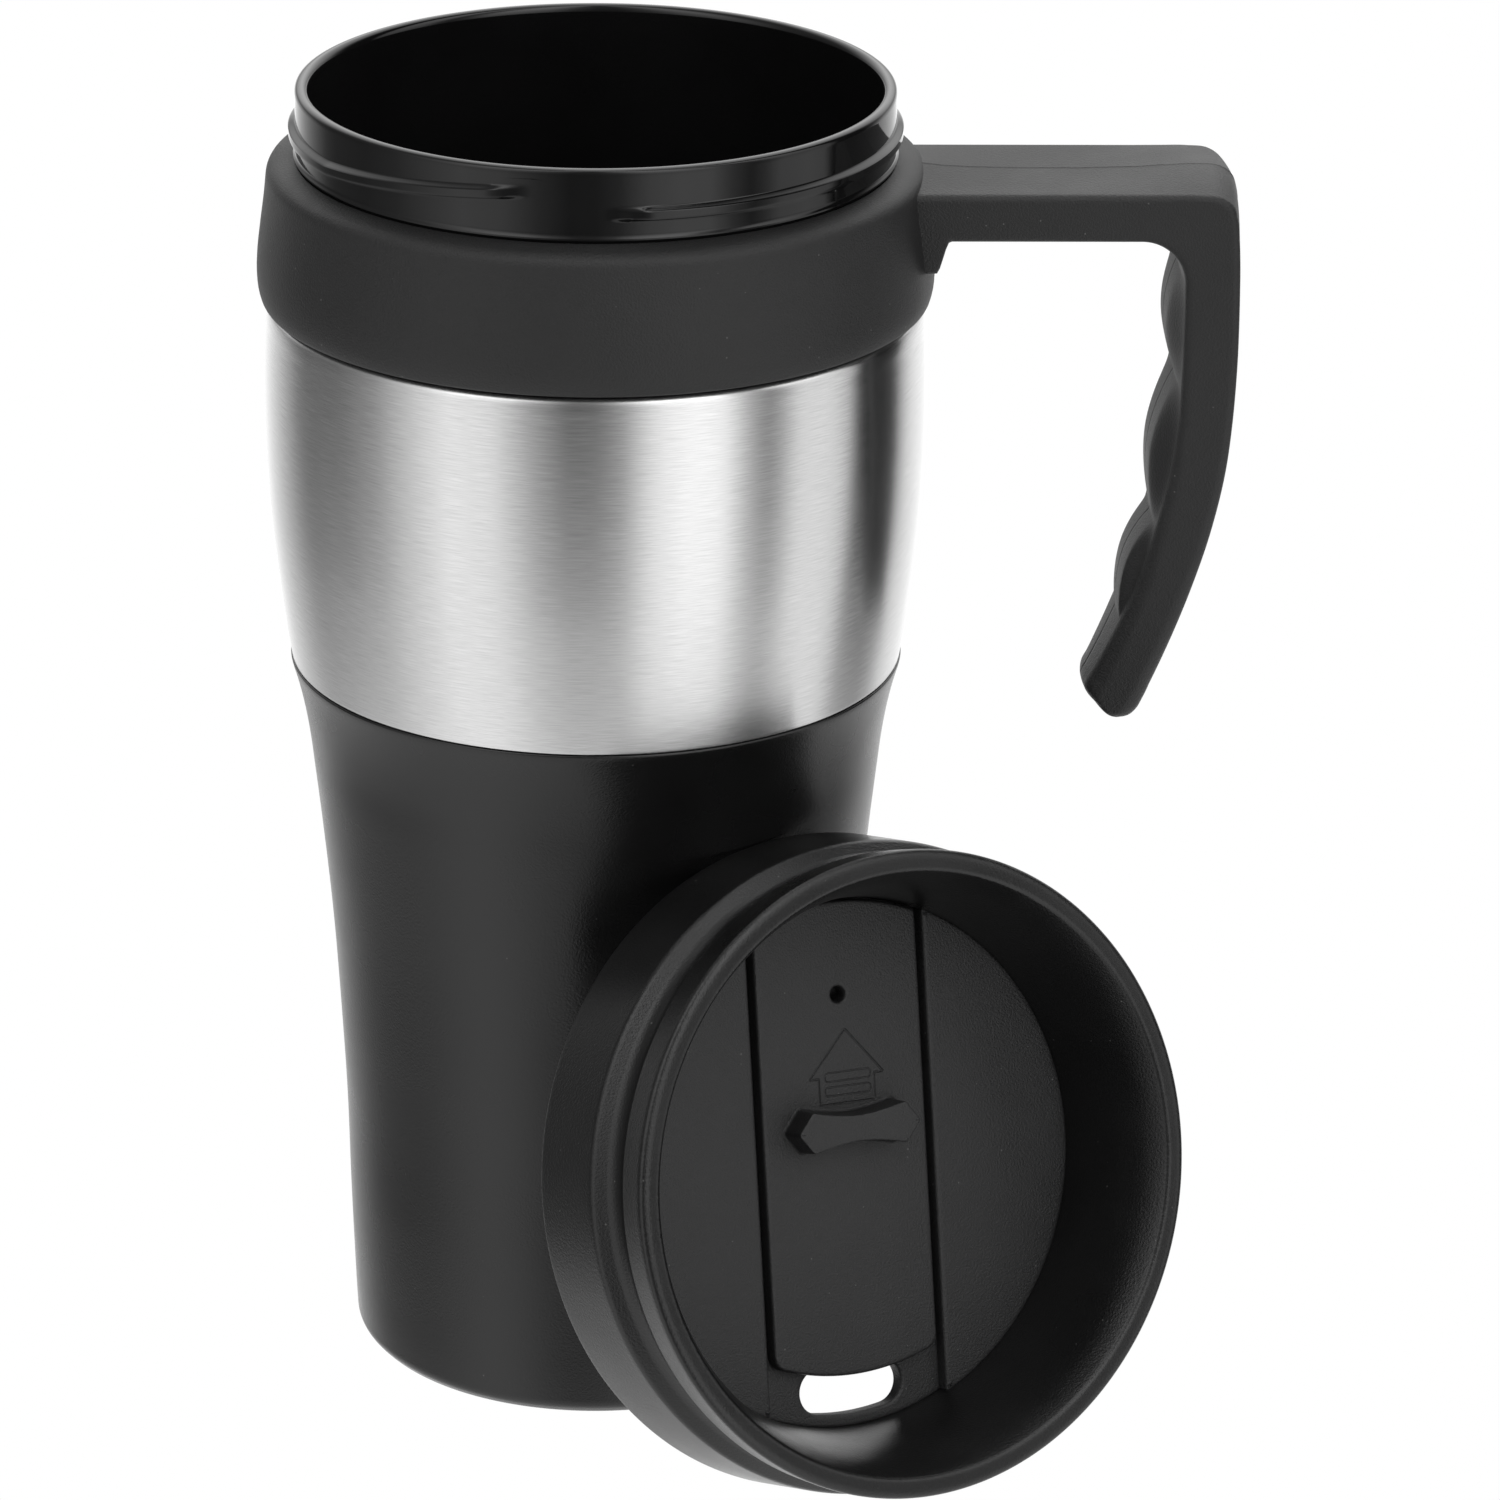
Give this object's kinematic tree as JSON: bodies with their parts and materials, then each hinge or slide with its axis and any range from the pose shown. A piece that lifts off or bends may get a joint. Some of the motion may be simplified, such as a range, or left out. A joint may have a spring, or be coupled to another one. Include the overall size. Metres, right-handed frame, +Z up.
{
  "type": "insulated travel mug",
  "caption": "Insulated travel mug with a steel band, hooked side handle and threaded neck; its waisted screw lid with a sliding drink shutter leans against the front.",
  "frame": {"origin": "centre of the mug's flat base, on the surface it stands on", "axes": "+Z up the mug's axis to its rim, +X towards the handle, -Y towards the front, where the lid leans"},
  "size_m": [0.1222, 0.1214, 0.168],
  "materials": {
    "liner_gloss": "glossy black",
    "soft_touch": "fine-grained matte black",
    "brushed_band": "circumferentially brushed",
    "shell_satin": "satin black",
    "lid_satin": "satin black",
    "silicone": "soft black silicone"
  },
  "bodies": {
    "mug": {"inner_liner": "liner_gloss", "handle_collar": "soft_touch", "steel_band": "brushed_band", "lower_shell": "shell_satin", "base_plate": "shell_satin"},
    "lid_seal": {"lid_gasket": "silicone"},
    "lid": {"lid_cap": "lid_satin"},
    "slider": {"slider": "lid_satin", "slider_clip": "lid_satin"}
  },
  "joints": [
    {"name": "lid_pull", "type": "slide", "parent": "mug", "child": "lid_seal", "axis": [0.5157, -0.8095, 0.2807], "range_m": [0, 0.12]},
    {"name": "lid_turn", "type": "hinge", "parent": "lid_seal", "child": "lid", "pos_m": [0.02834, -0.03815, 0.0394], "axis": [0.5157, -0.8095, 0.2807], "range_deg": [0, 170]},
    {"name": "slider_slide", "type": "slide", "parent": "lid", "child": "slider", "axis": [0.0559, -0.2951, -0.9538], "range_m": [0, 0.0063]}
  ]
}
